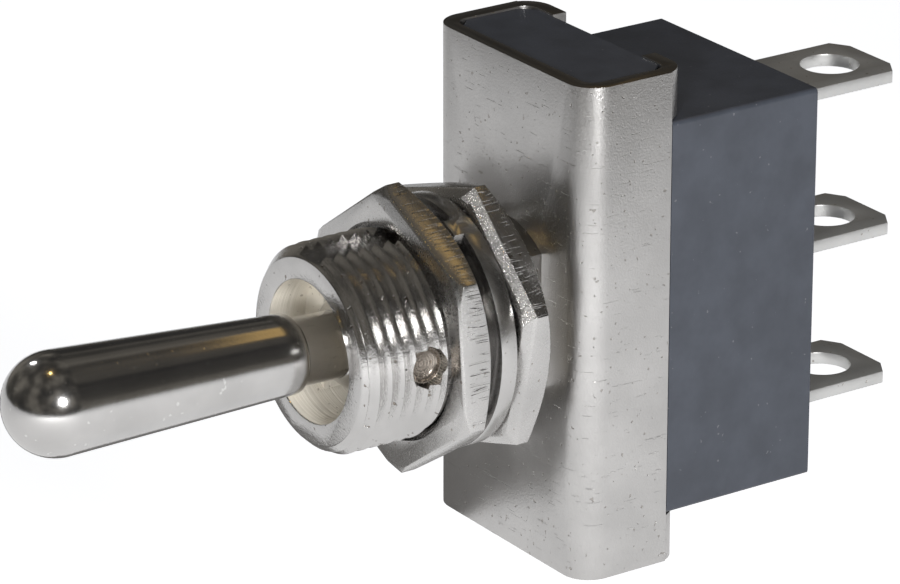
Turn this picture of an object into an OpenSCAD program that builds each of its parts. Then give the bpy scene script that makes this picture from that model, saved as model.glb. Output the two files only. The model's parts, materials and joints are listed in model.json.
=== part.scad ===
// Panel toggle switch with a metal bat lever: two throws and a centre position.
// Millimetres. The origin is where the lever's cross pin crosses the bushing's
// axis. -Y points out of the panel along the bushing, +Z runs along the row of
// terminals, and the cross pin lies along X. The fixed pieces are drawn with
// Y = 0 on the cover's front face and put in place by from_cover().

/* [Cover] */
// Width of the folded cover over its two side flanges
cover_w = 14.8; // [13.6:0.1:18]
// Height of the cover along the terminal row
cover_h = 29; // [27.5:0.5:40]
// Depth of the side flanges behind the front face
cover_depth = 5.8; // [5:0.1:8]
// Thickness of the cover's sheet steel
sheet_t = 0.9; // [0.6:0.1:1.2]
// Outer radius of the two long bends
bend_r = 1.7; // [1.3:0.1:2.2]
// Height of each corner tab that grips the housing
tab_h = 2.75; // [1.5:0.05:3]
// Reach of each corner tab from the cover's outer face
tab_reach = 3.2; // [2.6:0.1:4]
// Outer radius of the bend of each corner tab
tab_bend_r = 1.7; // [1.3:0.1:2]

/* [Bushing] */
// Major diameter of the mounting thread
thread_d = 11.9; // [11:0.1:13]
// Length of the bushing in front of the cover
bushing_len = 13.1; // [12:0.1:16]
// Axial length of the chamfer at the bushing's mouth
mouth_chamfer = 0.7; // [0.3:0.05:1]
// Diameter of the flat ring at the bushing's mouth
mouth_d = 10.6; // [9.6:0.1:11]
// Diameter of the counterbore behind the mouth
bore_d = 8.1; // [7.2:0.05:8.4]
// Depth of the counterbore
bore_depth = 2.4; // [1.5:0.1:3]
// Width of the slot in which the lever swings
slot_w = 4.2; // [3.6:0.1:4.6]
// Width of the keyway along the top of the thread
keyway_w = 2; // [1.2:0.1:2.6]
// Depth of the keyway
keyway_depth = 0.6; // [0.3:0.05:0.8]
// Length of the flat-sided stem between the thread and the cover
stem_len = 1.95; // [1.6:0.05:2]
// Diameter of the stem
stem_d = 10.4; // [10.2:0.1:10.8]
// Width of the stem over its two flats
stem_flat_w = 6.8; // [6.2:0.1:7.4]
// Diameter of the staked flange behind the cover
flange_d = 12.6; // [12.4:0.1:12.8]
// Depth to which the nuts' threads reach into the bushing's
thread_engage = 0.25; // [0.15:0.05:0.35]
// Thickness of the staked flange
flange_t = 0.8; // [0.5:0.1:1.2]

/* [Nuts and ring] */
// Width across the flats of both nuts
nut_af = 14.4; // [13.6:0.1:16]
// Thickness of each nut
nut_t = 1.9; // [1.4:0.1:2.2]
// Distance of the front nut's outer face from the cover
front_nut_y = 7.85; // [7.6:0.05:9]
// Distance of the rear nut's outer face from the cover
rear_nut_y = 3.95; // [2.8:0.05:4.1]
// Depth of the countersinks at both ends of each nut's thread
nut_countersink = 0.4; // [0.2:0.05:0.5]
// Turn of the front nut about the bushing
front_nut_turn = 35; // [0:1:60]
// Turn of the rear nut about the bushing
rear_nut_turn = 17; // [0:1:60]
// Outer diameter of the keyed locking ring
ring_d = 14.3; // [13.4:0.1:15]
// Thickness of the locking ring
ring_t = 1; // [0.6:0.1:1.2]
// Distance of the ring's outer face from the cover
ring_y = 5.2; // [5.2:0.05:5.4]

/* [Lever] */
// Distance of the cross pin in front of the cover
pivot_y = 8.9; // [8.5:0.1:9.5]
// Diameter of the cross pin
pin_d = 2.3; // [1.8:0.1:2.6]
// Length of the cross pin
pin_len = 10.4; // [9.6:0.1:11]
// Reach of the lever's tip from the pin
lever_reach = 22.95; // [20:0.1:34]
// Diameter of the lever at its round tip
tip_d = 5.8; // [5:0.1:7]
// Diameter of the bat at its shoulder
shoulder_d = 4.5; // [4.2:0.1:5.4]
// Distance of the bat's shoulder from the pin
shoulder_reach = 5.3; // [5:0.1:7]
// Diameter of the neck and of the inner end of the lever
neck_d = 3.8; // [3.2:0.1:4]
// Diameter of the flattened ball round the pin
hub_d = 6.4; // [5.6:0.1:7]
// Length of the lever behind the pin
tail_len = 11; // [10.4:0.1:11.6]
// Resting tilt of the lever, tip up
lever_tilt = 2; // [-4:0.5:4]
// Throw of the lever each way from the middle
lever_throw = 13; // [10:0.5:14]

/* [Plunger and spring] */
// Diameter of the plunger
plunger_d = 2.5; // [2:0.1:2.7]
// Length of the plunger, round end included
plunger_len = 7.3; // [6.5:0.1:8]
// Travel of the plunger into the lever
plunger_travel = 0.8; // [0.4:0.1:1]
// Wire diameter of the plunger spring
wire_d = 0.35; // [0.2:0.05:0.45]
// Number of turns of the plunger spring
spring_turns = 6; // [4:1:8]

/* [Contacts] */
// Width of the contact rocker
rocker_w = 4.4; // [3.6:0.1:5]
// Thickness of the rocker's strip
rocker_t = 0.7; // [0.5:0.05:0.9]
// Distance of the rocker's trough behind the cover's front face
trough_y = 6; // [5.8:0.1:6.4]
// Distance of each contact from the middle of the rocker
contact_z = 6.4; // [5.8:0.1:7]
// Diameter of the moving contacts
moving_contact_d = 2.6; // [2:0.1:3]
// Height of the moving contacts
moving_contact_t = 0.8; // [0.5:0.1:1]
// Diameter of the fixed contacts
fixed_contact_d = 3.2; // [2.6:0.1:3.6]
// Height of the fixed contacts
fixed_contact_t = 0.7; // [0.5:0.1:1]
// Diameter of the contacts' rivet shanks
shank_d = 1.2; // [1:0.1:1.4]
// Turn of the rocker for each degree of the lever
rocker_ratio = 0.5; // [0.4:0.05:0.55]

/* [Terminals] */
// Width of the terminal blades
blade_w = 5.9; // [5:0.1:6.4]
// Thickness of the terminal blades
blade_t = 0.75; // [0.6:0.05:0.9]
// Spacing of the terminal blades
blade_pitch = 9.25; // [9:0.05:10]
// Distance of the blades' ends from the cover's front face
blade_end = 25.4; // [22:0.1:32]
// Diameter of the wire hole in each blade
blade_hole_d = 3.4; // [2.4:0.1:4]
// Distance from the wire hole's middle to the blade's end
blade_hole_edge = 2.95; // [2.4:0.05:3.6]
// Inner radius of the bend inside the housing
blade_bend_r = 0.5; // [0.3:0.1:0.8]

/* [Housing] */
// Height of the housing behind the cover
housing_h = 23.2; // [22.6:0.1:34]
// Distance of the housing's rear face from the cover's front face
housing_end = 15.8; // [15.2:0.1:20]
// Thickness of the fibre insulator behind the flange
insulator_t = 0.4; // [0.2:0.1:0.6]
// Wall beside the mechanism's cavity
wall_t = 2.2; // [1.8:0.1:2.4]
// Wall behind the centre terminal's foot
floor_t = 3.4; // [2.4:0.1:4]
// Radius of the housing's upright edges
edge_r = 0.25; // [0.1:0.05:0.6]

/* [Fits] */
// Radial clearance of turning and sliding pieces
running_fit = 0.05; // [0.02:0.01:0.08]
// Clearance of pieces that are slipped together
slip_fit = 0.05; // [0.02:0.01:0.1]
// Gap left between the contacts at the end of the throw
contact_gap = 0.08; // [0.04:0.01:0.2]

/* [Hidden] */
$fn = 64;
eps = 0.01;
half_w = cover_w / 2;
inner_half_w = half_w - sheet_t;
thread_r = thread_d / 2;
bore_r = bore_d / 2;
neck_r = neck_d / 2;
nut_bore_r = thread_r - thread_engage + slip_fit;
plunger_r = plunger_d / 2;

// Corner tabs: the ledge they grip stands proud of the flanges' edges
ledge_rise = 0.25;
ledge_y = cover_depth + ledge_rise;
tab_rear_y = ledge_y + sheet_t;

// Stack under the cover
flange_rear_y = sheet_t + flange_t;
insulator_rear_y = flange_rear_y + insulator_t;
insulator_half_h = flange_d / 2;
head_front_y = sheet_t + slip_fit;
head_half_w = inner_half_w - slip_fit;
head_face_half_w = half_w - max(bend_r, tab_bend_r) - slip_fit;
head_h = cover_h - 4 * slip_fit;

// Bushing: floor of the counterbore, and the wider bore at the inner end
bore_floor_y = -bushing_len + bore_depth;
// The stem's shoulder rests on the cover, and its spigot passes through the cover's hole
stem_step = 0.25;
spigot_wall = 0.35;
rear_bore_r = stem_d / 2 - stem_step - spigot_wall;
rear_bore_y = -3;
keyway_floor_r = thread_r - keyway_depth;
pin_sink = 0.2;

// Plunger: middle of its round end, measured from the pin
tip_gap = 0.05;
plunger_end_r = plunger_r + 0.1;
plunger_tip_s = pivot_y + trough_y - tip_gap - plunger_end_r;
plunger_root_s = plunger_tip_s + plunger_end_r - plunger_len;
spring_bore_r = plunger_r + running_fit;
spring_bore_s = 2.5;
spring_coil_r = plunger_r - 0.1 - wire_d / 2;

// Rocker: it turns about its side lugs
rocker_y = trough_y + rocker_t / 2;
rocker_tilt = rocker_ratio * lever_tilt;
rocker_throw = rocker_ratio * lever_throw;
lug_r = rocker_t / 2;
lug_reach = 0.9;
// The trough is the circle that the plunger's end follows over the whole throw,
// seen from the turning rocker
tip_y0 = plunger_tip_s - pivot_y - rocker_y;
sweep_y = (tip_y0 - plunger_tip_s * (1 - cos(lever_throw))) * cos(rocker_throw)
    - plunger_tip_s * sin(lever_throw) * sin(rocker_throw);
sweep_z = (tip_y0 - plunger_tip_s * (1 - cos(lever_throw))) * sin(rocker_throw)
    + plunger_tip_s * sin(lever_throw) * cos(rocker_throw);
sweep_rise = tip_y0 - sweep_y;
trough_r = (pow(sweep_z, 2) + pow(sweep_rise, 2)) / (2 * sweep_rise) + plunger_end_r + tip_gap;
trough_margin = 0.75;
trough_half = sweep_z + trough_margin;
wing_y = trough_y - trough_r + sqrt(pow(trough_r, 2) - pow(trough_half, 2));
wing_margin = 0.3;
wing_end = contact_z + moving_contact_d / 2 + wing_margin;

// Contacts: the fixed face stands where the tilted moving face ends its travel
moving_face_y = wing_y + rocker_t + moving_contact_t;
fixed_face_y = rocker_y + (moving_face_y - rocker_y) * cos(rocker_throw)
    + (contact_z + moving_contact_d / 2) * sin(rocker_throw) + contact_gap;
leg_y = fixed_face_y + fixed_contact_t;
shelf_y = leg_y + blade_t;

// Centre terminal: foot on the deep floor, saddle riveted onto it
floor_y = housing_end - floor_t;
foot_y = floor_y - blade_t;
saddle_t = 0.6;
saddle_base_y = foot_y - saddle_t;
saddle_half_w = rocker_w / 2 + 0.35;
saddle_half_h = 1.5;
foot_len = 3.1;
rivet_z = -foot_len + 1.1;
rivet_d = 1.4;
rivet_head_d = 2.2;
rivet_head_t = 0.45;
pocket_half_h = 4.2;
cavity_margin = 0.7;
cavity_half_w = half_w - wall_t;
cavity_half_h = blade_pitch + blade_t / 2 + cavity_margin;
insulator_lap = 0.7;
insulator_half_w = cavity_half_w + insulator_lap;

// ---- Helpers ----

// Turns an outline drawn in (Y, Z) into a plate of the given width across X
module across_x(width) {
    rotate([90, 0, 90]) translate([0, 0, -width / 2]) linear_extrude(width) children();
}

// Round bar along Y, from y0 to y1
module bar_y(y0, y1, r) {
    translate([0, y0, 0]) rotate([-90, 0, 0]) cylinder(h = y1 - y0, r = r);
}

// Turns an outline drawn in (X, Z) into a bar along Y, from y0 to y1
module prism_y(y0, y1) {
    translate([0, y1, 0]) rotate([90, 0, 0]) linear_extrude(y1 - y0) children();
}

// Turns an outline drawn in (radius, distance in front of the cover) about Y
module lathe_y() {
    rotate([90, 0, 0]) rotate_extrude() children();
}

// Rectangle with round corners, centred
module rounded_rect(w, h, r) {
    square([w - 2 * r, h], center = true);
    square([w, h - 2 * r], center = true);
    for (sx = [-1, 1], sy = [-1, 1])
        translate([sx * (w / 2 - r), sy * (h / 2 - r)]) circle(r);
}

// Quarter turn of a strip: outer radius r, thickness t, in the first quadrant
module quarter_bend(r, t) {
    intersection() {
        difference() {
            circle(r);
            circle(r - t);
        }
        square(r);
    }
}

// Puts what is drawn from the cover's front face into the part's frame
module from_cover() {
    translate([0, pivot_y, 0]) children();
}

// Puts what is drawn along Y, with the pin at the origin, onto the tilted lever
module on_lever() {
    rotate([-lever_tilt, 0, 0]) children();
}

// Puts what is drawn with the rocker level onto the tilted rocker
module on_rocker() {
    from_cover() translate([0, rocker_y, 0]) rotate([rocker_tilt, 0, 0])
        translate([0, -rocker_y, 0]) children();
}

// ---- Cover ----

// Half of the folded channel, seen from above: front wall, bend and flange
module channel_half() {
    square([half_w - bend_r, sheet_t]);
    translate([half_w - bend_r, bend_r]) mirror([0, 1]) quarter_bend(bend_r, sheet_t);
    translate([half_w - sheet_t, bend_r]) square([sheet_t, cover_depth - bend_r]);
}

// One corner tab, seen from above: the flange runs on, turns in and grips the ledge
module tab_outline() {
    bend_y = tab_rear_y - tab_bend_r;
    translate([half_w - sheet_t, cover_depth - 1]) square([sheet_t, bend_y - cover_depth + 1]);
    translate([half_w - tab_bend_r, bend_y]) quarter_bend(tab_bend_r, sheet_t);
    translate([half_w - tab_reach, ledge_y]) square([tab_reach - tab_bend_r, sheet_t]);
}

// Circle with two flats, which keeps the bushing from turning in the cover
module stem_outline(margin) {
    intersection() {
        circle(stem_d / 2 + margin);
        square([stem_flat_w + 2 * margin, stem_d + 1], center = true);
    }
}

module cover() color("silver") from_cover() difference() {
    for (side = [0, 1]) mirror([side, 0, 0]) {
        translate([0, 0, -cover_h / 2]) linear_extrude(cover_h) channel_half();
        for (end = [0, 1]) mirror([0, 0, end])
            translate([0, 0, cover_h / 2 - tab_h]) linear_extrude(tab_h) tab_outline();
    }
    prism_y(-1, sheet_t + 1) stem_outline(slip_fit - stem_step);
}

// ---- Bushing, nuts and ring ----

module slot_outline(r) {
    intersection() {
        circle(r);
        square([slot_w, 2 * r + 1], center = true);
    }
}

// The thread is a plain cylinder at its major diameter. Under each nut it is
// relieved to the depth of the engaged threads, and the nut's bore fills the relief
module bushing() color("gainsboro") from_cover() difference() {
    union() {
        lathe_y() polygon([[0, stem_len], [thread_r, stem_len], [thread_r, bushing_len - mouth_chamfer],
            [mouth_d / 2, bushing_len], [0, bushing_len]]);
        prism_y(-stem_len - eps, 0) stem_outline(0);
        prism_y(-eps, sheet_t + slip_fit + eps) stem_outline(-stem_step);
        bar_y(sheet_t + slip_fit, flange_rear_y, flange_d / 2);
    }
    for (y = [front_nut_y, rear_nut_y]) difference() {
        bar_y(-y - eps, -y + nut_t + eps, thread_d);
        bar_y(-y - 1, -y + nut_t + 1, thread_r - thread_engage);
    }
    bar_y(-bushing_len - 1, bore_floor_y, bore_r);
    prism_y(bore_floor_y - 1, flange_rear_y + 1) slot_outline(bore_r);
    prism_y(rear_bore_y, flange_rear_y + 1) slot_outline(rear_bore_r);
    translate([-keyway_w / 2, -bushing_len - 1, keyway_floor_r])
        cube([keyway_w, bushing_len + 1, thread_r]);
    translate([0, -pivot_y, 0]) rotate([0, 90, 0]) cylinder(h = thread_d + 2, d = pin_d, center = true);
    for (side = [0, 1]) mirror([side, 0, 0])
        translate([thread_r - pin_sink, -pivot_y, 0]) rotate([0, 90, 0])
            cylinder(h = 2 * pin_sink, r1 = pin_d / 2, r2 = pin_d / 2 + 2 * pin_sink);
}

// Stamped hexagon nut: lathe chamfers take the corners off both faces, from
// radius front_r and rear_r outwards, a bevel runs along the front edges, and
// both ends of the thread are countersunk
module hex_nut(outer_y, turn, front_r, rear_r, bevel) {
    corner_r = nut_af / 2 / cos(30);
    edge_r = corner_r + 0.5;
    front_drop = (edge_r - front_r) * tan(30);
    rear_drop = (edge_r - rear_r) * tan(30);
    translate([0, -outer_y, 0]) rotate([-90, 0, 0]) rotate([0, 0, -turn]) difference() {
        intersection() {
            cylinder(h = nut_t, r = corner_r, $fn = 6);
            rotate_extrude() polygon([[0, 0], [front_r, 0], [edge_r, front_drop],
                [edge_r, nut_t - rear_drop], [rear_r, nut_t], [0, nut_t]]);
        }
        for (k = [0:5]) rotate([0, 0, 30 + 60 * k]) translate([nut_af / 2 - bevel, 0, 0])
            rotate([0, -45, 0]) translate([0, -nut_af, -2]) cube([2, 2 * nut_af, 2]);
        translate([0, 0, -1]) cylinder(h = nut_t + 2, r = nut_bore_r);
        for (end = [0, 1]) translate([0, 0, end * nut_t]) mirror([0, 0, end]) translate([0, 0, -1])
            cylinder(h = nut_countersink + 1, r1 = nut_bore_r + nut_countersink + 1, r2 = nut_bore_r);
    }
}

module front_nut() color("silver") from_cover()
    hex_nut(front_nut_y, front_nut_turn, nut_af / 2 + 0.5, nut_af / 2 - 0.05, 0.1);

module rear_nut() color("silver") from_cover()
    hex_nut(rear_nut_y, rear_nut_turn, nut_af / 2 + 0.3, nut_af / 2 - 0.05, 0.5);

// Flat ring with a tongue in the keyway and a small locating lug bent forward
module locking_ring() color("silver") from_cover() {
    lug_w = 1.2;
    lug_t = 0.8;
    lug_y = 0.6;
    lug_turn = 66;
    difference() {
        bar_y(-ring_y, -ring_y + ring_t, ring_d / 2);
        difference() {
            bar_y(-ring_y - 1, -ring_y + ring_t + 1, thread_r + slip_fit);
            translate([-keyway_w / 2 + slip_fit, -ring_y - 2, keyway_floor_r + slip_fit])
                cube([keyway_w - 2 * slip_fit, ring_t + 4, thread_r]);
        }
    }
    rotate([0, -lug_turn, 0])
        translate([ring_d / 2 - lug_t, -ring_y - lug_y, -lug_w / 2]) cube([lug_t, lug_y + eps, lug_w]);
}

// ---- Lever ----

// The bat tapers from its round tip to the shoulder, so that cone and ball are tangent
module bat_outline() {
    tip_r = tip_d / 2;
    shoulder_r = shoulder_d / 2;
    ball_s = lever_reach - tip_r;
    taper = atan((tip_r - shoulder_r) / (ball_s - shoulder_reach));
    round_r = 0.35;
    polygon([[0, 0], [neck_r, 0], [neck_r, shoulder_reach], [shoulder_r - round_r, shoulder_reach],
        for (a = [-75:15:0]) [shoulder_r - round_r + round_r * cos(a),
            shoulder_reach + round_r + round_r * sin(a)],
        [tip_r * cos(taper), ball_s - tip_r * sin(taper)], [0, ball_s]]);
}

module lever() color("gainsboro") on_lever() difference() {
    union() {
        lathe_y() bat_outline();
        translate([0, -(lever_reach - tip_d / 2), 0]) sphere(d = tip_d);
        intersection() {
            sphere(d = hub_d);
            cube([neck_d, hub_d, hub_d], center = true);
        }
        bar_y(0, tail_len, neck_r);
    }
    rotate([0, 90, 0]) cylinder(h = neck_d + 2, r = pin_d / 2 + running_fit, center = true);
    bar_y(spring_bore_s, tail_len + 1, spring_bore_r);
}

module pivot_pin() color("tan") rotate([0, 90, 0])
    cylinder(h = pin_len, d = pin_d, center = true);

module plunger() color("ivory") on_lever() intersection() {
    bar_y(plunger_root_s, plunger_tip_s + 2 * plunger_end_r, plunger_r);
    union() {
        bar_y(plunger_root_s, plunger_tip_s, 2 * plunger_r);
        translate([0, plunger_tip_s, 0]) sphere(r = plunger_end_r);
    }
}

// Wire coil between the bottom of the lever's bore and the plunger
function coil_point(s, side_angle, y0, y1) =
    let (turn = 360 * spring_turns * s,
        lead = (y1 - y0) / (360 * spring_turns) * 180 / PI / spring_coil_r,
        tilt = atan(lead),
        out = cos(side_angle) * wire_d / 2,
        rise = sin(side_angle) * wire_d / 2)
    [(spring_coil_r + out) * cos(turn) + rise * sin(tilt) * sin(turn),
     y0 + (y1 - y0) * s + rise * cos(tilt),
     (spring_coil_r + out) * sin(turn) - rise * sin(tilt) * cos(turn)];

module plunger_spring() color("lightsteelblue") on_lever() {
    sides = 6;
    rings = spring_turns * 12;
    y0 = spring_bore_s + wire_d / 2 + eps;
    y1 = plunger_root_s - wire_d / 2 - eps;
    polyhedron(
        points = [for (i = [0:rings], k = [0:sides - 1])
            coil_point(i / rings, 360 * k / sides, y0, y1)],
        faces = concat(
            [[for (k = [0:sides - 1]) k]],
            [for (i = [0:rings - 1], k = [0:sides - 1])
                [i * sides + k, (i + 1) * sides + k,
                 (i + 1) * sides + (k + 1) % sides, i * sides + (k + 1) % sides]],
            [[for (k = [sides - 1:-1:0]) rings * sides + k]]),
        convexity = 10);
}

// ---- Rocker and contacts ----

// Strip seen from the side: a round trough between two flat wings
module rocker_strip() {
    difference() {
        intersection() {
            translate([trough_y - trough_r, 0]) circle(trough_r + rocker_t, $fn = 120);
            translate([wing_y, -trough_half]) square([trough_y - wing_y + rocker_t + 1, 2 * trough_half]);
        }
        translate([trough_y - trough_r, 0]) circle(trough_r, $fn = 120);
    }
    for (side = [0, 1]) mirror([0, side])
        translate([wing_y, trough_half - 0.4]) square([rocker_t, wing_end - trough_half + 0.4]);
}

module contact_rocker() color("peru") on_rocker() difference() {
    union() {
        difference() {
            across_x(rocker_w) rocker_strip();
            for (side = [-1, 1]) translate([0, 0, side * contact_z])
                bar_y(wing_y - 1, wing_y + rocker_t + 1, shank_d / 2);
        }
        translate([0, rocker_y, 0]) rotate([0, 90, 0])
            cylinder(h = rocker_w + 2 * lug_reach, r = lug_r, center = true);
    }
    // The lugs stay clear of the trough in which the plunger runs
    across_x(rocker_w + 2 * lug_reach + 1) translate([trough_y - trough_r, 0]) circle(trough_r, $fn = 120);
}

// Contact rivet: button on the terminals' side, shank peened flush in the strip
module moving_contact(z) on_rocker() translate([0, 0, z]) {
    bar_y(wing_y + rocker_t, moving_face_y, moving_contact_d / 2);
    bar_y(wing_y, wing_y + rocker_t + eps, shank_d / 2);
}

module upper_moving_contact() color("whitesmoke") moving_contact(contact_z);

module lower_moving_contact() color("whitesmoke") moving_contact(-contact_z);

module fixed_contact(z) from_cover() translate([0, 0, z]) {
    bar_y(fixed_face_y, leg_y, fixed_contact_d / 2);
    bar_y(leg_y - eps, shelf_y, shank_d / 2);
}

module upper_fixed_contact() color("whitesmoke") fixed_contact(contact_z);

module lower_fixed_contact() color("whitesmoke") fixed_contact(-contact_z);

// ---- Terminals ----

// Blade seen from above: parallel sides, two clipped corners and the wire hole
module blade_plan(y0) {
    clip_x = 1.1;
    clip_y = 0.7;
    difference() {
        polygon([[-blade_w / 2, y0], [blade_w / 2, y0], [blade_w / 2, blade_end - clip_y],
            [blade_w / 2 - clip_x, blade_end], [-blade_w / 2 + clip_x, blade_end],
            [-blade_w / 2, blade_end - clip_y]]);
        translate([0, blade_end - blade_hole_edge]) circle(d = blade_hole_d);
    }
}

// Blade seen from the side: straight through the wall, then bent down by leg_len
module blade_side(front_y, leg_len) {
    r = blade_bend_r + blade_t;
    translate([front_y + r, -blade_t / 2]) square([blade_end - front_y - r, blade_t]);
    translate([front_y + r, blade_t / 2 - r]) mirror([1, 0]) quarter_bend(r, blade_t);
    translate([front_y, blade_t / 2 - leg_len]) square([blade_t, leg_len - r]);
}

module blade(front_y, leg_len) {
    intersection() {
        across_x(blade_w) blade_side(front_y, leg_len);
        translate([0, 0, -cover_h]) linear_extrude(2 * cover_h) blade_plan(front_y - 1);
    }
}

module outer_terminal() {
    difference() {
        translate([0, 0, blade_pitch])
            blade(leg_y, blade_pitch + blade_t / 2 - contact_z + fixed_contact_d / 2 + 2 * slip_fit);
        translate([0, 0, contact_z]) bar_y(leg_y - 1, shelf_y + 1, shank_d / 2);
    }
}

module upper_terminal() color("lightgray") from_cover() outer_terminal();

module lower_terminal() color("lightgray") from_cover() mirror([0, 0, 1]) outer_terminal();

module centre_terminal() color("lightgray") from_cover() difference() {
    blade(foot_y, foot_len + blade_t / 2);
    translate([0, 0, rivet_z]) bar_y(foot_y - 1, floor_y + 1, rivet_d / 2);
}

// U-shaped saddle: each ear has a notch in which a lug of the rocker turns
module rocker_saddle() color("goldenrod") from_cover() difference() {
    union() {
        translate([-saddle_half_w - saddle_t, saddle_base_y, -foot_len])
            cube([2 * (saddle_half_w + saddle_t), saddle_t, foot_len + saddle_half_h]);
        for (side = [0, 1]) mirror([side, 0, 0])
            translate([saddle_half_w, rocker_y - lug_r, -saddle_half_h])
                cube([saddle_t, foot_y - rocker_y + lug_r, 2 * saddle_half_h]);
    }
    translate([0, rocker_y, 0]) rotate([0, 90, 0])
        cylinder(h = cover_w, r = lug_r + running_fit, center = true);
    translate([-half_w, rocker_y - 2, -lug_r - running_fit]) cube([cover_w, 2, 2 * (lug_r + running_fit)]);
    translate([0, 0, rivet_z]) bar_y(saddle_base_y - 1, foot_y + 1, rivet_d / 2);
}

module saddle_rivet() color("darkgoldenrod") from_cover() translate([0, 0, rivet_z]) {
    bar_y(saddle_base_y - rivet_head_t, saddle_base_y, rivet_head_d / 2);
    bar_y(saddle_base_y - eps, floor_y, rivet_d / 2);
}

// ---- Insulator and housing ----

module insulator() color("saddlebrown") from_cover() difference() {
    translate([-insulator_half_w, flange_rear_y, -insulator_half_h])
        cube([2 * insulator_half_w, insulator_t, 2 * insulator_half_h]);
    bar_y(0, insulator_rear_y + 1, rear_bore_r + 3 * slip_fit);
}

// Head inside the cover, seen from above: its edges are chamfered to clear the bends
module head_outline() {
    bevel = head_half_w - head_face_half_w;
    for (side = [0, 1]) mirror([side, 0])
        polygon([[0, head_front_y], [head_face_half_w, head_front_y],
            [head_half_w, head_front_y + bevel], [head_half_w, ledge_y - bevel],
            [head_face_half_w, ledge_y], [0, ledge_y]]);
}

// Room for a terminal's bend, its legs' front at front_y and its blade at height z
module bend_relief(front_y, z) {
    size = blade_bend_r + blade_t;
    translate([-blade_w / 2 - slip_fit, front_y, z + blade_t / 2 - size])
        cube([blade_w + 2 * slip_fit, size, size]);
}

module housing() color("#26282c") from_cover() difference() {
    union() {
        translate([0, 0, -head_h / 2]) linear_extrude(head_h) head_outline();
        // Rear part, flush with the cover's flanges
        translate([0, cover_depth + slip_fit, 0]) rotate([-90, 0, 0])
            linear_extrude(housing_end - cover_depth - slip_fit) rounded_rect(cover_w, housing_h, edge_r);
    }
    // Recess of the bushing's flange and the insulator
    translate([-half_w, head_front_y - 1, -insulator_half_h - slip_fit])
        cube([cover_w, insulator_rear_y - head_front_y + 1, 2 * (insulator_half_h + slip_fit)]);
    // Cavity of the mechanism, with a deeper pocket for the saddle
    rotate([-90, 0, 0]) {
        linear_extrude(shelf_y) rounded_rect(2 * cavity_half_w, 2 * cavity_half_h, 0.6);
        linear_extrude(floor_y) rounded_rect(2 * cavity_half_w, 2 * pocket_half_h, 0.4);
    }
    // Slots of the three terminals
    for (z = [-blade_pitch, 0, blade_pitch])
        translate([-blade_w / 2 - slip_fit, floor_y - 4, z - blade_t / 2 - slip_fit])
            cube([blade_w + 2 * slip_fit, floor_t + 5, blade_t + 2 * slip_fit]);
    for (end = [0, 1]) mirror([0, 0, end]) bend_relief(leg_y, blade_pitch);
    bend_relief(foot_y, 0);
}

cover();
bushing();
front_nut();
locking_ring();
rear_nut();
lever();
pivot_pin();
plunger();
plunger_spring();
insulator();
housing();
contact_rocker();
upper_moving_contact();
lower_moving_contact();
rocker_saddle();
saddle_rivet();
centre_terminal();
upper_terminal();
lower_terminal();
upper_fixed_contact();
lower_fixed_contact();
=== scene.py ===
"""Looks of the panel toggle switch: plated metal, moulded housing, real thread."""
import json
import math

import bmesh
import bpy
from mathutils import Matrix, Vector


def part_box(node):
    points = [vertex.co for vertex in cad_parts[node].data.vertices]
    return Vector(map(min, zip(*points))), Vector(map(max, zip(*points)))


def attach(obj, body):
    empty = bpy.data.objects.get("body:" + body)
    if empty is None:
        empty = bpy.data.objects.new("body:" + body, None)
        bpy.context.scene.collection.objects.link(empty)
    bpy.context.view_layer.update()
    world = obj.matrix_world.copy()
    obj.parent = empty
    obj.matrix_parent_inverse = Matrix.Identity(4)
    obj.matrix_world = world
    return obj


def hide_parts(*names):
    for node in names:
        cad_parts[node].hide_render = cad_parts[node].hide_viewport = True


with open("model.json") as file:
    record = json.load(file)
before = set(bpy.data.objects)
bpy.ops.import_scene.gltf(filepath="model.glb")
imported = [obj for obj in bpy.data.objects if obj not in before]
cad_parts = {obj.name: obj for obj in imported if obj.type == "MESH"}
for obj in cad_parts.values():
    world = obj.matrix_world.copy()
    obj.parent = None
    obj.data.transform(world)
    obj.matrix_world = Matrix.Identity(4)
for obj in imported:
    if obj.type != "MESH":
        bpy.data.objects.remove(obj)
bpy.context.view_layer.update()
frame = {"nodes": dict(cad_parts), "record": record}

# Lengths in this script are millimetres in the part's frame, which has the cross pin at
# its origin. Meshes are written in metres.
MM = 0.001
NODES = frame["nodes"]
MOUNTS = {mount["name"]: mount for mount in frame["record"]["mounts"]}


def low(node, axis):
    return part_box(node)[0][axis] / MM


def high(node, axis):
    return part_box(node)[1][axis] / MM


MOUTH_Y = low("bushing", 1)
COVER_Y = low("cover", 1)
THREAD_R = MOUNTS["bushing"]["dims"]["r_mm"]
PIN_R = high("pivot_pin", 2)
PIN_END = high("pivot_pin", 0)
PITCH = 25.4 / 32
THREAD_DEPTH = 0.44
# The crests stay this far inside the mount's plain wall
CREST_DROP = 0.025
# The sides of the nuts lie outside this radius
NUT_SIDE_R = THREAD_R + 1
# The bushing's bore lies inside this radius, and its thread outside
BORE_R = 4.2
# Vertices this near to each other, in metres, are joined before a solid is cut
SAME_POINT = 1e-6
# Solids are rounded where their faces meet at more than this angle
SHARP_ANGLE = math.radians(30)
EDGE_ROUNDING = 0.07


# ---------------------------------------------------------------- mesh helpers
def new_object(name, bm):
    """Object made from a bmesh drawn in metres; the bmesh is freed."""
    mesh = bpy.data.meshes.new(name)
    bm.to_mesh(mesh)
    bm.free()
    obj = bpy.data.objects.new(name, mesh)
    bpy.context.collection.objects.link(obj)
    return obj


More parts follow.
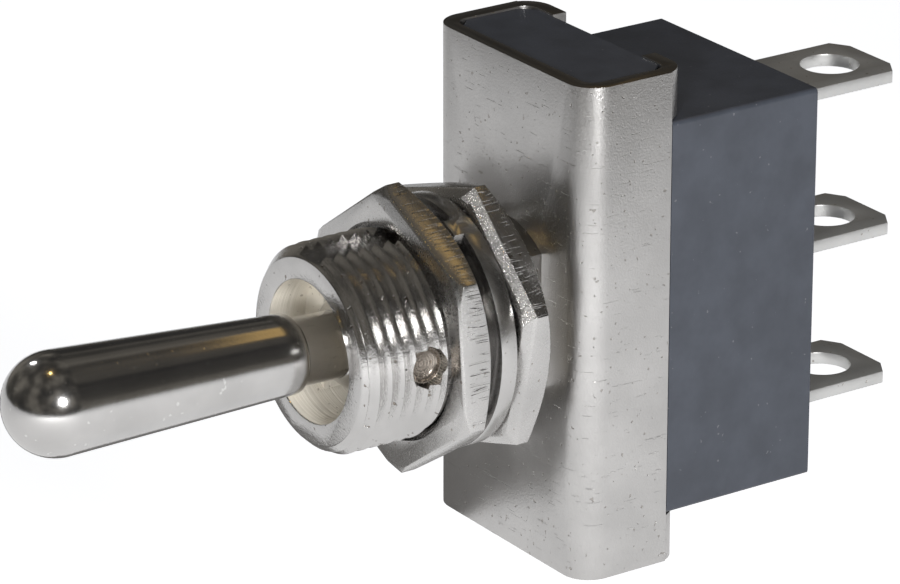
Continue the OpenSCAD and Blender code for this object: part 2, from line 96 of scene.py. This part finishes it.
def solid_copy(node):
    """The node's solid with its faces joined along their edges, ready to be cut."""
    bm = bmesh.new()
    bm.from_mesh(NODES[node].data)
    bmesh.ops.remove_doubles(bm, verts=bm.verts, dist=SAME_POINT)
    nearly_flat = math.radians(0.6)
    bmesh.ops.dissolve_limit(bm, angle_limit=nearly_flat, verts=bm.verts, edges=bm.edges)
    return bm


def keep_shared(obj, tool):
    """Leaves of obj what it shares with the tool, and removes the tool."""
    modifier = obj.modifiers.new("shared", "BOOLEAN")
    modifier.operation = "INTERSECT"
    modifier.solver = "EXACT"
    modifier.object = tool
    result = obj.evaluated_get(bpy.context.evaluated_depsgraph_get())
    mesh = bpy.data.meshes.new_from_object(result)
    obj.modifiers.clear()
    obj.data = mesh
    bpy.data.objects.remove(tool)


def round_edges(bm, width, at_point=lambda point: True, segments=2):
    """Rounds the sharp edges whose two ends, in millimetres, at_point() accepts."""
    edges = [edge for edge in bm.edges if len(edge.link_faces) == 2
             and edge.calc_face_angle(0) > SHARP_ANGLE
             and all(at_point(vert.co / MM) for vert in edge.verts)]
    bmesh.ops.bevel(bm, geom=edges, offset=width * MM, segments=segments, profile=0.5,
                    affect="EDGES", clamp_overlap=True, harden_normals=False)


def soften(obj, angle=32):
    """Smooth shading, with creases where two faces meet at more than the angle."""
    crease = math.radians(angle)
    bm = bmesh.new()
    bm.from_mesh(obj.data)
    bmesh.ops.remove_doubles(bm, verts=bm.verts, dist=SAME_POINT / 5)
    for face in bm.faces:
        face.smooth = True
    for edge in bm.edges:
        edge.smooth = len(edge.link_faces) == 2 and edge.calc_face_angle(0) < crease
    bm.to_mesh(obj.data)
    bm.free()


def lathe(name, outline, segments):
    """Closed solid turned about X from (x, radius) points, the first and last on the axis."""
    bm = bmesh.new()
    rings = []
    for x, radius in outline:
        count = 1 if radius == 0 else segments
        ring = []
        for k in range(count):
            turn = 2 * math.pi * k / segments
            point = Vector((x, radius * math.cos(turn), radius * math.sin(turn)))
            ring.append(bm.verts.new(point * MM))
        rings.append(ring)
    for first, second in zip(rings, rings[1:]):
        for k in range(segments):
            corners = [first[k % len(first)], first[(k + 1) % len(first)],
                       second[(k + 1) % len(second)], second[k % len(second)]]
            bm.faces.new(list(dict.fromkeys(corners)))
    bmesh.ops.recalc_face_normals(bm, faces=bm.faces)
    return new_object(name, bm)


def dress(obj, node, body="base"):
    """The piece stands for a CAD node and moves with its body."""
    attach(obj, body)
    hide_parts(node)
    return obj


# ---------------------------------------------------------------- bushing with its thread
def thread_radius(turns):
    """Radius of the thread's profile: rounded crests and roots on nearly straight flanks."""
    from_crest = abs(turns % 1 - 0.5) * 2
    wave = 0.5 - 0.5 * math.cos(math.pi * from_crest)
    return THREAD_R - CREST_DROP - THREAD_DEPTH * (0.3 * wave + 0.7 * from_crest)


def threaded_rod():
    """Closed rod with a right-hand thread, and a wide collar behind the cover's face."""
    # columns go round the rod, and steps go along one pitch
    columns, steps = 128, 10
    collar_r, collar_len = 7, 4
    start = MOUTH_Y - 2.5 * PITCH
    thread_end = COVER_Y - 0.2
    front_tip, rear_tip = start - 2, COVER_Y + 8
    rows = int((thread_end - start) / PITCH * steps)
    bm = bmesh.new()
    grid = []
    for k in range(rows + 2):
        ring = []
        for j in range(columns):
            turn = 2 * math.pi * j / columns
            radius = thread_radius(k / steps) if k < rows else collar_r
            y = start + PITCH * (k / steps - j / columns) + (collar_len if k > rows else 0)
            point = Vector((radius * math.cos(turn), y, radius * math.sin(turn)))
            ring.append(bm.verts.new(point * MM))
        grid.append(ring)
    last = len(grid) - 1
    for k in range(last):
        for j in range(columns - 1):
            bm.faces.new((grid[k][j], grid[k][j + 1], grid[k + 1][j + 1], grid[k + 1][j]))
        if k >= steps:
            # One turn ends where the turn of one pitch before it began
            before, after = grid[k - steps], grid[k - steps + 1]
            bm.faces.new((grid[k][-1], before[0], after[0], grid[k + 1][-1]))
    front_loop = grid[0] + [grid[k][-1] for k in range(1, steps + 1)]
    rear_loop = grid[last][::-1] + [grid[k][0] for k in range(last - 1, last - steps - 1, -1)]
    for loop, y in ((front_loop, front_tip), (rear_loop, rear_tip)):
        tip = bm.verts.new((0, y * MM, 0))
        for a, b in zip(loop, loop[1:] + loop[:1]):
            bm.faces.new((a, b, tip))
    bmesh.ops.recalc_face_normals(bm, faces=bm.faces)
    return new_object("threaded_rod", bm)


def make_bushing():
    """The bushing's own solid, its mouth slightly rounded, with the thread cut into it."""
    bm = solid_copy("bushing")
    round_edges(bm, EDGE_ROUNDING, lambda point: point.y < MOUTH_Y + 0.01)
    bushing = new_object("threaded_bushing", bm)
    keep_shared(bushing, threaded_rod())
    soften(bushing, 38)
    return dress(bushing, "bushing")


# ---------------------------------------------------------------- other metal pieces
def make_pin():
    """Cross pin: chamfered ends, dished and ringed by the turning tool."""
    chamfer, land, dish, ring = 0.14, 0.06, 0.34, 0.012
    rim = PIN_R - chamfer - land
    steps = 24
    half = [(PIN_END - dish, 0)]
    for k in range(1, steps + 1):
        turn = math.radians(90 * k / steps)
        x = PIN_END - dish * math.cos(turn) + ring * (k % 3 - 1)
        half.append((x, rim * math.sin(turn)))
    half += [(PIN_END, PIN_R - chamfer), (PIN_END - chamfer, PIN_R)]
    outline = [(-x, radius) for x, radius in half] + half[::-1]
    pin = lathe("turned_pin", outline, 64)
    soften(pin, 50)
    return dress(pin, "pivot_pin")


def make_lever():
    """The lever's own solid, with the hairline seam between its taper and ball closed."""
    seam = 0.03
    bm = bmesh.new()
    bm.from_mesh(NODES["lever"].data)
    bmesh.ops.remove_doubles(bm, verts=bm.verts, dist=seam * MM)
    bmesh.ops.dissolve_degenerate(bm, edges=bm.edges, dist=SAME_POINT)
    lever = new_object("polished_lever", bm)
    soften(lever)
    return dress(lever, "lever", "lever")


def make_rounded(node, name, width=EDGE_ROUNDING, torn_width=0):
    """The node's own solid with its sharp edges slightly rounded, as on the real piece.

    With a torn_width, the upper right of its front edge is rounded wider and first.
    """
    front = low(node, 1)

    def on_torn_edge(point):
        outside = math.hypot(point.x, point.z) > NUT_SIDE_R
        return abs(point.y - front) < 0.01 and outside and point.z > 1 and point.x > -0.5

    bm = solid_copy(node)
    if torn_width:
        round_edges(bm, torn_width, on_torn_edge, segments=3)
    round_edges(bm, width)
    piece = new_object(name, bm)
    soften(piece)
    return dress(piece, node)


# ---------------------------------------------------------------- shader helpers
def new_material(name):
    """Material with its node tree and its principled shader."""
    mat = bpy.data.materials.new(name)
    mat.use_nodes = True
    tree = mat.node_tree
    tree.nodes.clear()
    out = tree.nodes.new("ShaderNodeOutputMaterial")
    bsdf = tree.nodes.new("ShaderNodeBsdfPrincipled")
    tree.links.new(bsdf.outputs[0], out.inputs[0])
    return mat, tree, bsdf


def add(tree, kind, inputs=None):
    """Shader node of this kind; each input is set to a value or linked to a socket."""
    node = tree.nodes.new("ShaderNode" + kind)
    for key, value in (inputs or {}).items():
        if isinstance(value, bpy.types.NodeSocket):
            tree.links.new(value, node.inputs[key])
        else:
            node.inputs[key].default_value = value
    return node


def mapped(tree, scale=(1, 1, 1), rotation=(0, 0, 0)):
    """Object coordinates in millimetres, stretched by scale."""
    coord = add(tree, "TexCoord")
    return add(tree, "Mapping", {"Vector": coord.outputs["Object"], "Rotation": rotation,
                                 "Scale": tuple(s / MM for s in scale)}).outputs[0]


def noise(tree, vector, scale, detail, rough):
    return add(tree, "TexNoise", {"Vector": vector, "Scale": scale, "Detail": detail,
                                  "Roughness": rough}).outputs["Fac"]


def ramp(tree, fac, stops):
    """Colour ramp through (position, grey level or colour) stops."""
    node = add(tree, "ValToRGB", {"Fac": fac})
    elements = node.color_ramp.elements
    while len(elements) < len(stops):
        elements.new(0.5)
    for element, (pos, value) in zip(elements, stops):
        element.position = pos
        element.color = (*value, 1) if isinstance(value, tuple) else (value, value, value, 1)
    return node.outputs["Color"]


def mix(tree, fac, a, b):
    node = tree.nodes.new("ShaderNodeMix")
    node.data_type = "RGBA"
    for socket, value in ((node.inputs[0], fac), (node.inputs[6], a), (node.inputs[7], b)):
        if isinstance(value, bpy.types.NodeSocket):
            tree.links.new(value, socket)
        else:
            socket.default_value = value if socket is node.inputs[0] else (*value, 1)
    return node.outputs[2]


def calc(tree, operation, *values):
    node = tree.nodes.new("ShaderNodeMath")
    node.operation = operation
    for socket, value in zip(node.inputs, values):
        if isinstance(value, bpy.types.NodeSocket):
            tree.links.new(value, socket)
        else:
            socket.default_value = value
    return node.outputs[0]


def bump(tree, height, depth, normal=None):
    """Relief whose full height is depth millimetres, over an earlier normal if one is given."""
    inputs = {"Height": height, "Strength": 1.0, "Distance": depth * MM}
    if normal is not None:
        inputs["Normal"] = normal
    return add(tree, "Bump", inputs).outputs[0]


# ---------------------------------------------------------------- materials
def shade(colour, factor):
    return tuple(channel * factor for channel in colour)


def plated(name, colour, rough, grain_scale=6.0, relief=0.002, rough_span=0.15,
           stain=(0.20, 0.15, 0.10), spots=0.5, spot_scale=2.6, metallic=1.0,
           scratched=False, layers=()):
    """Plated metal with fine grain, pin-point stains, cloudy polish and, if asked, scratches.

    The relief is in millimetres, spots is the strength of the stains, and each of the
    layers adds its own relief.
    """
    mat, tree, bsdf = new_material(name)
    plain = mapped(tree)
    grained = noise(tree, plain, grain_scale, 4, 0.6)
    cloud = noise(tree, plain, 0.30, 3, 0.55)
    spot = noise(tree, plain, spot_scale, 1, 0.5)
    spot = ramp(tree, spot, [(0.0, 0.0), (0.72, 0.0), (0.75, 1.0)])
    tint = ramp(tree, cloud, [(0.36, shade(colour, 0.90)), (0.62, colour)])
    tint = mix(tree, calc(tree, "MULTIPLY", spot, spots), tint, stain)
    tree.links.new(tint, bsdf.inputs["Base Color"])
    bsdf.inputs["Metallic"].default_value = metallic
    level = calc(tree, "MULTIPLY_ADD", grained, rough_span, rough - rough_span / 2)
    level = calc(tree, "MULTIPLY_ADD", cloud, 0.10, calc(tree, "SUBTRACT", level, 0.05))
    tree.links.new(level, bsdf.inputs["Roughness"])
    normal = bump(tree, grained, relief)
    if scratched:
        hair = noise(tree, mapped(tree, (0.35, 0.35, 6), (0.12, 0.2, 0)), 1.6, 2, 0.5)
        normal = bump(tree, ramp(tree, hair, [(0.69, 0.0), (0.73, 1.0)]), -relief, normal)
    normal = bump(tree, spot, -2 * relief, normal)
    for layer in layers:
        normal = layer(tree, normal)
    tree.links.new(normal, bsdf.inputs["Normal"])
    return mat


def ticks(depth, first, last):
    """Layer of shear marks: short scores along Y, between first and last on that axis."""
    fade = 0.15

    def layer(tree, normal):
        scores = noise(tree, mapped(tree, (6.5, 0.5, 6.5)), 1.0, 1, 0.3)
        scores = ramp(tree, scores, [(0.56, 0.0), (0.62, 1.0)])
        along = add(tree, "SeparateXYZ", {0: mapped(tree)}).outputs["Y"]
        rise = add(tree, "MapRange", {
            "Value": along, "From Min": first - fade, "From Max": first + fade})
        fall = add(tree, "MapRange", {
            "Value": along, "From Min": last + fade, "From Max": last - fade})
        place = calc(tree, "MULTIPLY", rise.outputs[0], fall.outputs[0])
        return bump(tree, calc(tree, "MULTIPLY", scores, place), -depth, normal)
    return layer


def stripes(period, depth):
    """Layer of tool marks: fine uneven rings that repeat along the bushing's axis."""
    def layer(tree, normal):
        lines = noise(tree, mapped(tree, (0.02, 1.0 / period, 0.02)), 1.0, 2, 0.6)
        return bump(tree, lines, depth, normal)
    return layer


def moulded(name, colour, rough):
    """Moulded plastic: fine texture, cloudy gloss and grey dust specks."""
    mat, tree, bsdf = new_material(name)
    plain = mapped(tree)
    fine = noise(tree, plain, 7, 4, 0.6)
    cloud = noise(tree, plain, 0.45, 3, 0.6)
    dust = noise(tree, plain, 3.2, 1, 0.4)
    dust = ramp(tree, dust, [(0.0, 0.0), (0.76, 0.0), (0.79, 1.0)])
    tint = ramp(tree, cloud, [(0.35, shade(colour, 0.88)), (0.65, shade(colour, 1.12))])
    tint = mix(tree, calc(tree, "MULTIPLY", dust, 0.35), tint, (0.30, 0.30, 0.31))
    tree.links.new(tint, bsdf.inputs["Base Color"])
    level = calc(tree, "MULTIPLY_ADD", fine, 0.16, rough - 0.08)
    tree.links.new(level, bsdf.inputs["Roughness"])
    tree.links.new(bump(tree, fine, 0.003), bsdf.inputs["Normal"])
    return mat


NICKEL = (0.60, 0.59, 0.58)
polished = plated("nickel_polished", NICKEL, 0.15, relief=0.0012, rough_span=0.08,
                  stain=(0.90, 0.90, 0.88), spots=0.4)
satin = plated("nickel_cover", NICKEL, 0.33, grain_scale=8, relief=0.014, spots=0.35,
               spot_scale=3.4, scratched=True)
turned = plated("nickel_bushing", NICKEL, 0.17, relief=0.016, spots=0.6,
                layers=[stripes(0.11, 0.010)])
faced = plated("nickel_nut", NICKEL, 0.27, relief=0.004)
front_ticks = ticks(0.03, low("front_nut", 1) + 0.55, high("front_nut", 1) - 0.25)
front_side = plated("nickel_nut_side", NICKEL, 0.26, relief=0.004, layers=[front_ticks])
rear_ticks = ticks(0.06, low("rear_nut", 1) + 0.35, high("rear_nut", 1) - 0.5)
rear_side = plated("nickel_rear_side", NICKEL, 0.26, relief=0.004, layers=[rear_ticks])
ringed = plated("nickel_ring", NICKEL, 0.24, relief=0.003, spots=0.3)
tinned = plated("tinned_brass", (0.72, 0.72, 0.71), 0.40, relief=0.008, metallic=0.8)
# The bore's walls are pale cream, far lighter than the outer nickel: painted light that stands
# in for the bright floor they reflect; the turning rings are real relief
bore_painted_light = plated("nickel_bore_painted_light", (0.93, 0.88, 0.78), 0.40, relief=0.003, metallic=0.35,
               layers=[stripes(0.20, 0.09)])
torn = plated("nickel_torn", (0.88, 0.87, 0.85), 0.20, relief=0.22, rough_span=0.2,
              metallic=0.85)
# Near black for the cover's sheared top and bottom ends: painted shade that stands in for the
# dark room the top ends reflect
edge_painted_shade = plated("cover_edge_painted_shade", (0.24, 0.23, 0.22), 0.34, relief=0.006)
pin_metal = plated("pin_metal", (0.40, 0.355, 0.31), 0.26)
brass = plated("brass", (0.78, 0.58, 0.30), 0.30)
silver = plated("silver_alloy", (0.85, 0.85, 0.84), 0.30)
housing_black = moulded("black_moulding", (0.058, 0.065, 0.082), 0.42)
fibre = moulded("fibre_sheet", (0.25, 0.16, 0.10), 0.7)
nylon = moulded("nylon", (0.80, 0.78, 0.70), 0.4)

# ---------------------------------------------------------------- pieces and their materials
PIECES = dict(NODES)
PIECES["bushing"] = make_bushing()
PIECES["lever"] = make_lever()
PIECES["pivot_pin"] = make_pin()
PIECES["front_nut"] = make_rounded("front_nut", "rounded_front_nut")
PIECES["rear_nut"] = make_rounded("rear_nut", "rounded_rear_nut", torn_width=0.26)
PIECES["locking_ring"] = make_rounded("locking_ring", "rounded_locking_ring", 0.06)
PIECES["cover"] = make_rounded("cover", "rounded_cover")
for place in ("upper", "centre", "lower"):
    terminal = place + "_terminal"
    PIECES[terminal] = make_rounded(terminal, "rounded_" + terminal, 0.05)

LOOKS = {
    "cover": satin, "bushing": turned, "front_nut": faced, "locking_ring": ringed,
    "rear_nut": faced, "lever": polished, "pivot_pin": pin_metal, "plunger": nylon,
    "plunger_spring": pin_metal, "insulator": fibre, "housing": housing_black,
    "contact_rocker": brass, "rocker_saddle": brass, "saddle_rivet": brass,
    "upper_moving_contact": silver, "lower_moving_contact": silver,
    "upper_fixed_contact": silver, "lower_fixed_contact": silver,
    "centre_terminal": tinned, "upper_terminal": tinned, "lower_terminal": tinned,
}
for name, look in LOOKS.items():
    for piece in (NODES[name], PIECES[name]):
        piece.data.materials.clear()
        piece.data.materials.append(look)


def paint(piece, mat, pick):
    """Gives a second material to the faces that pick(centre in mm, normal) chooses."""
    mesh = piece.data
    mesh.materials.append(mat)
    for face in mesh.polygons:
        if pick(face.center / MM, face.normal):
            face.material_index = len(mesh.materials) - 1


def in_bore(c, n):
    """Walls and floor of the bore behind the mouth, but not the stem's outer flats."""
    # Faces that look towards the axis or along it
    inward = c.x * n.x + c.z * n.z < 0.3
    return math.hypot(c.x, c.z) < BORE_R and c.y > MOUTH_Y + 0.08 and inward


def in_pin_hole(c, n):
    return math.hypot(c.y, c.z) < PIN_R + 0.12 and c.x > BORE_R


def on_nut_side(c, n):
    return abs(n.y) < 0.1 and math.hypot(c.x, c.z) > NUT_SIDE_R


def on_torn_band(c, n):
    """The wide rounding at the upper right of the rear nut's front edge."""
    outside = math.hypot(c.x, c.z) > NUT_SIDE_R
    return 0.2 < -n.y < 0.98 and c.z > 1 and outside and n.x > 0.02 and n.z > 0.1


def on_upper_right_facet(c, n):
    return abs(n.y) < 0.1 and n.x > 0.3 and n.z > 0.5


def on_sheared_end(c, n):
    return abs(n.z) > 0.95


# The bore's walls get the pale cream with its painted light
paint(PIECES["bushing"], bore_painted_light, in_bore)
paint(PIECES["bushing"], faced, in_pin_hole)
paint(PIECES["front_nut"], front_side, on_nut_side)
paint(PIECES["rear_nut"], torn, on_torn_band)
paint(PIECES["rear_nut"], rear_side, on_upper_right_facet)
# The cover's top and bottom ends get the painted shade
paint(PIECES["cover"], edge_painted_shade, on_sheared_end)


# ---------------------------------------------------------------- floor and studio
def direction(azimuth, elevation):
    """Unit vector; azimuth 0 is in front of the lever, and 90 on the +X side."""
    a, e = math.radians(azimuth), math.radians(elevation)
    return Vector((math.sin(a) * math.cos(e), -math.cos(a) * math.cos(e), math.sin(e)))


def camera_and_reflected(tree):
    """Two sockets: 1 for camera rays, and 1 for rays through a reflection or glass."""
    path = add(tree, "LightPath").outputs
    reflected = calc(tree, "MAXIMUM", path["Is Glossy Ray"], path["Is Transmission Ray"])
    return path["Is Camera Ray"], reflected


def set_surface(tree, shader):
    """Links the shader to the material's output in place of the principled one."""
    output = [node for node in tree.nodes if node.type == "OUTPUT_MATERIAL"][0]
    tree.links.new(shader.outputs[0], output.inputs[0])


def only_reflected(obj, name, glow_colour):
    """Makes obj glow, seen in nothing but the metal's reflections.

    glow_colour(tree) gives the colour of the glow, or a socket for it.
    """
    for kind in ("camera", "diffuse", "shadow", "transmission", "volume_scatter"):
        setattr(obj, "visible_" + kind, False)
    mat, tree, _ = new_material(name)
    glow = add(tree, "Emission", {"Color": glow_colour(tree), "Strength": 1.0})
    set_surface(tree, glow)
    obj.data.materials.append(mat)


def make_floor(centre_y, drop, half, glow, mirrored):
    """Pale matt floor that looks white, also in reflections, and keeps the object's shadow.

    It lies drop metres under the axis and reaches half metres each way; glow and mirrored
    are what it adds for the camera and for reflections.
    """
    bm = bmesh.new()
    bmesh.ops.create_grid(bm, x_segments=1, y_segments=1, size=half)
    floor = new_object("floor", bm)
    floor.location = (0, centre_y, -drop)
    mat, tree, bsdf = new_material("pale_floor")
    bsdf.inputs["Base Color"].default_value = (0.8, 0.8, 0.8, 1)
    bsdf.inputs["Roughness"].default_value = 0.9
    camera_ray, reflected = camera_and_reflected(tree)
    level = calc(tree, "MULTIPLY", camera_ray, glow)
    level = calc(tree, "MULTIPLY_ADD", reflected, mirrored, level)
    light = add(tree, "Emission", {"Color": (0.97, 0.98, 1, 1), "Strength": level})
    both = add(tree, "AddShader", {0: bsdf.outputs[0], 1: light.outputs[0]})
    set_surface(tree, both)
    floor.data.materials.append(mat)


def make_world(strength):
    """Soft light from all sides that looks white to the camera and in reflections."""
    world = bpy.data.worlds.new("studio")
    bpy.context.scene.world = world
    world.use_nodes = True
    tree = world.node_tree
    tree.nodes.clear()
    out = tree.nodes.new("ShaderNodeOutputWorld")
    light = add(tree, "Background", {"Color": (1, 1, 1, 1), "Strength": strength})
    white = add(tree, "Background", {"Color": (1, 1, 1, 1), "Strength": 1.0})
    camera_ray, reflected = camera_and_reflected(tree)
    seen = calc(tree, "MAXIMUM", camera_ray, reflected)
    pick = add(tree, "MixShader", {0: seen, 1: light.outputs[0], 2: white.outputs[0]})
    tree.links.new(pick.outputs[0], out.inputs[0])


def make_canopy(radius, low_deg):
    """Dim, warm room, seen only in the metal's reflections: a dome that starts at low_deg."""
    bm = bmesh.new()
    bmesh.ops.create_uvsphere(bm, u_segments=64, v_segments=48, radius=radius)
    cut = radius * math.sin(math.radians(low_deg))
    bmesh.ops.delete(bm, geom=[v for v in bm.verts if v.co.z < cut], context="VERTS")

    def patches(tree):
        coord = add(tree, "TexCoord").outputs["Object"]
        return ramp(tree, noise(tree, coord, 1.6, 2, 0.5), [
            (0.35, (0.034, 0.033, 0.032)), (0.50, (0.070, 0.066, 0.059)),
            (0.66, (0.19, 0.177, 0.155))])

    only_reflected(new_object("canopy", bm), "canopy", patches)


def make_card(name, centre, size, facing, colour):
    """Card of one plain colour beside the object, seen only in the metal's reflections."""
    bm = bmesh.new()
    bmesh.ops.create_grid(bm, x_segments=1, y_segments=1, size=0.5)
    card = new_object(name, bm)
    card.scale = (size[0], size[1], 1)
    card.location = centre
    card.rotation_mode = "QUATERNION"
    card.rotation_quaternion = Vector(facing).to_track_quat("Z", "Y")
    only_reflected(card, name, lambda tree: (*colour, 1))


def area(name, azimuth, elevation, distance, size, energy, colour=(1, 1, 1)):
    """Lamp that faces the object: round with one size, and a rectangle with two."""
    light = bpy.data.lights.new(name, "AREA")
    light.energy = energy
    light.color = colour
    if isinstance(size, tuple):
        light.shape = "RECTANGLE"
        light.size, light.size_y = size
    else:
        light.shape = "DISK"
        light.size = size
    lamp = bpy.data.objects.new(name, light)
    bpy.context.collection.objects.link(lamp)
    lamp.location = direction(azimuth, elevation) * distance
    lamp.rotation_mode = "QUATERNION"
    lamp.rotation_quaternion = direction(azimuth, elevation).to_track_quat("Z", "Y")
    return lamp


# Metres, degrees and watts. The first card is a painted shadow: a grey glow, seen only in
# reflections, that stands in for the object's shadow on the floor and darkens the lower
# half of the cover's front. The glowing warm card and the lamp give the golden glints on
# the metal's upper side.
make_floor(centre_y=0.05, drop=0.06, half=0.9, glow=0.82, mirrored=0.50)
make_world(0.09)
# Painted shadow: grey glow in the reflections, where the object's shadow would lie on the floor
make_card("painted_shadow_card", centre=(-0.029, -0.002, -0.016), size=(0.046, 0.028),
          facing=(0, 0, 1), colour=(0.20, 0.195, 0.19))
make_card("warm_card", centre=(-0.001, 0.026, 0.040), size=(0.022, 0.012),
          facing=(0, -0.5, -0.85), colour=(0.62, 0.42, 0.17))
make_canopy(radius=1.6, low_deg=-4)
area("key", 77, 24, distance=0.55, size=0.11, energy=1.6)
area("warm_lamp", -20, 82, distance=0.5, size=0.02, energy=0.05, colour=(1.0, 0.66, 0.22))
area("window", -86, 38, distance=0.6, size=(0.02, 0.09), energy=0.12)
mouth_fill = area("mouth_fill", 46, 12, distance=0.5, size=0.1, energy=1.5)
mouth_fill.visible_glossy = False


# ---------------------------------------------------------------- camera
# Where the photograph's camera stood: its direction from the target, in degrees, its
# distance and its sideways and upward shift.
AZIMUTH, ELEVATION = 55.824, 21.588
TARGET = Vector((0, 6.916, 0))
DISTANCE, SHIFT_RIGHT, SHIFT_UP = 295.8, -1.467, 0.960
back = direction(AZIMUTH, ELEVATION)
right = Vector((math.cos(math.radians(AZIMUTH)), math.sin(math.radians(AZIMUTH)), 0))
up = back.cross(right)
lens = bpy.data.cameras.new("camera")
lens.sensor_width = 36
lens.lens = 213.6
lens.clip_start, lens.clip_end = 0.01, 10
camera = bpy.data.objects.new("camera", lens)
bpy.context.collection.objects.link(camera)
camera.location = (TARGET + SHIFT_RIGHT * right + SHIFT_UP * up + DISTANCE * back) * MM
camera.rotation_mode = "QUATERNION"
camera.rotation_quaternion = (-back).to_track_quat("-Z", "Y")
scene = bpy.context.scene
scene.camera = camera
scene.view_settings.view_transform = "Standard"
